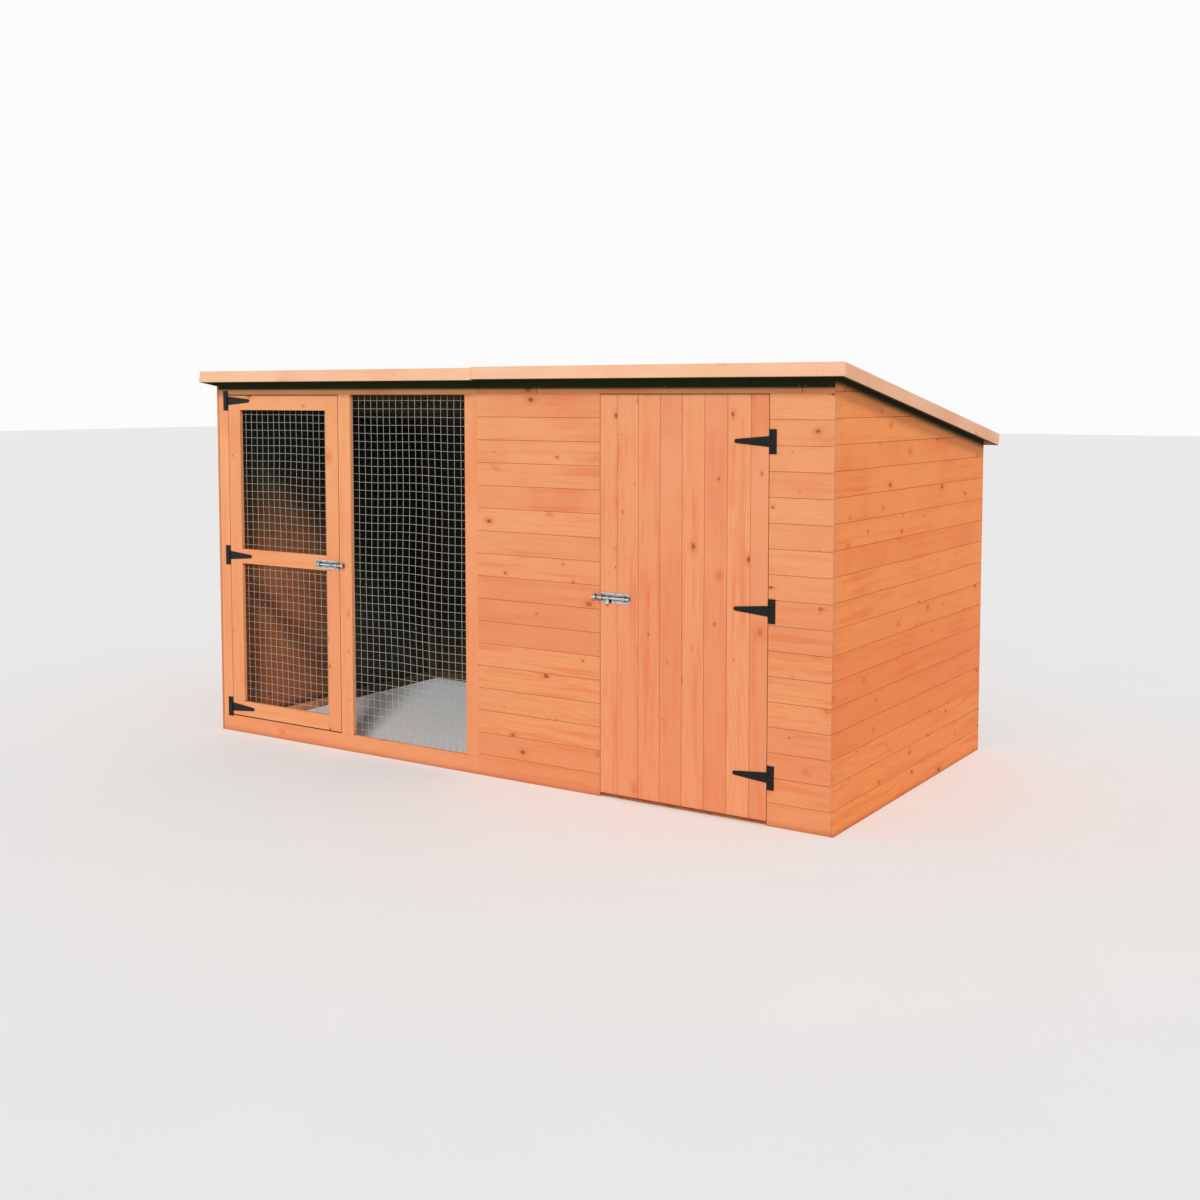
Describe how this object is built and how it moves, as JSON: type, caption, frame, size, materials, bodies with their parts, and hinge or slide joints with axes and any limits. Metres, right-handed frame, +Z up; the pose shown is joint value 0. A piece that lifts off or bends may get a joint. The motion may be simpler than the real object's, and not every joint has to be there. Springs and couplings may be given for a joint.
{
  "type": "covered dog pen",
  "caption": "Timber dog kennel with a boarded ledged door, joined to a roofed run with a mesh front and a framed mesh door, both doors on tee hinges with sliding bolts.",
  "frame": {"origin": "on the ground, under the middle of the whole pen's box", "axes": "+X along the front to the viewer's right, +Y from the front to the back, +Z up"},
  "size_m": [3.456, 1.8098, 1.812],
  "materials": {
    "wall_boards": "tongued and grooved softwood, orange-brown preservative stain, knots and open grain",
    "door_boards": "upright tongued and grooved softwood, orange-brown preservative stain",
    "front_timber": "planed softwood, orange-brown preservative stain",
    "framing_timber": "sawn softwood, stained like the boards",
    "fascia_timber": "planed softwood, paler and a little pink where the stain is thin",
    "roof_boards": "unstained softwood boarding",
    "floor_timber": "softwood boarding, lightly stained",
    "roof_felt": "mineral-surfaced bitumen felt, dark green-grey",
    "mesh_wire": "galvanised welded wire",
    "hinge_black": "black japanned steel, half gloss",
    "bolt_zinc": "bright zinc-plated steel"
  },
  "bodies": {
    "pen": {"kennel_back_wall_boards": "wall_boards", "kennel_back_wall_frame": "framing_timber", "kennel_bolt_keeper": "bolt_zinc", "kennel_door_hinge_pins": "hinge_black", "kennel_door_hinge_plates": "hinge_black", "kennel_floor_bearers": "floor_timber", "kennel_floor_boards": "floor_timber", "kennel_front_frame": "framing_timber", "kennel_front_left_boards": "wall_boards", "kennel_front_right_boards": "wall_boards", "kennel_header_boards": "wall_boards", "kennel_roof_boards": "roof_boards", "kennel_roof_felt": "roof_felt", "kennel_roof_front_fascia": "fascia_timber", "kennel_roof_purlins": "framing_timber", "kennel_roof_rear_fascia": "fascia_timber", "kennel_roof_verge_board": "fascia_timber", "kennel_side_wall_boards": "wall_boards", "kennel_side_wall_frame": "framing_timber", "partition_boards": "wall_boards", "partition_frame": "framing_timber", "run_back_wall_boards": "wall_boards", "run_back_wall_frame": "framing_timber", "run_bolt_keeper": "bolt_zinc", "run_door_hinge_pins": "hinge_black", "run_door_hinge_plates": "hinge_black", "run_door_stop": "front_timber", "run_front_bottom_rail": "front_timber", "run_front_left_post": "front_timber", "run_front_mesh": "mesh_wire", "run_front_middle_post": "front_timber", "run_front_right_post": "front_timber", "run_front_top_rail": "front_timber", "run_left_wall_boards": "wall_boards", "run_left_wall_frame": "framing_timber", "run_roof_boards": "roof_boards", "run_roof_felt": "roof_felt", "run_roof_front_fascia": "fascia_timber", "run_roof_purlins": "framing_timber", "run_roof_rear_fascia": "fascia_timber", "run_roof_verge_board": "fascia_timber"},
    "run_door": {"run_door_left_stile": "front_timber", "run_door_right_stile": "front_timber", "run_door_bottom_rail": "front_timber", "run_door_middle_rail": "front_timber", "run_door_top_rail": "front_timber", "run_door_lower_mesh": "mesh_wire", "run_door_upper_mesh": "mesh_wire", "run_door_hinge_straps": "hinge_black", "run_bolt_plate": "bolt_zinc"},
    "kennel_door": {"kennel_door_boards": "door_boards", "kennel_door_ledges": "framing_timber", "kennel_door_braces": "framing_timber", "kennel_door_hinge_straps": "hinge_black", "kennel_bolt_plate": "bolt_zinc"},
    "run_bolt": {"run_bolt_bar": "bolt_zinc", "run_bolt_handle": "bolt_zinc"},
    "kennel_bolt": {"kennel_bolt_bar": "bolt_zinc", "kennel_bolt_handle": "bolt_zinc"}
  },
  "joints": [
    {"name": "run_door_hinge", "type": "hinge", "parent": "pen", "child": "run_door", "pos_m": [-1.6085, -0.83508, 0.893], "axis": [0, 0, -1], "range_deg": [0, 170]},
    {"name": "kennel_door_hinge", "type": "hinge", "parent": "pen", "child": "kennel_door", "pos_m": [1.3935, -0.83508, 0.85], "axis": [0, 0, 1], "range_deg": [0, 170]},
    {"name": "run_bolt_slide", "type": "slide", "parent": "run_door", "child": "run_bolt", "axis": [1, 0, 0], "range_m": [-0.014, 0.023]},
    {"name": "kennel_bolt_slide", "type": "slide", "parent": "kennel_door", "child": "kennel_bolt", "axis": [-1, 0, 0], "range_m": [-0.014, 0.023]}
  ]
}
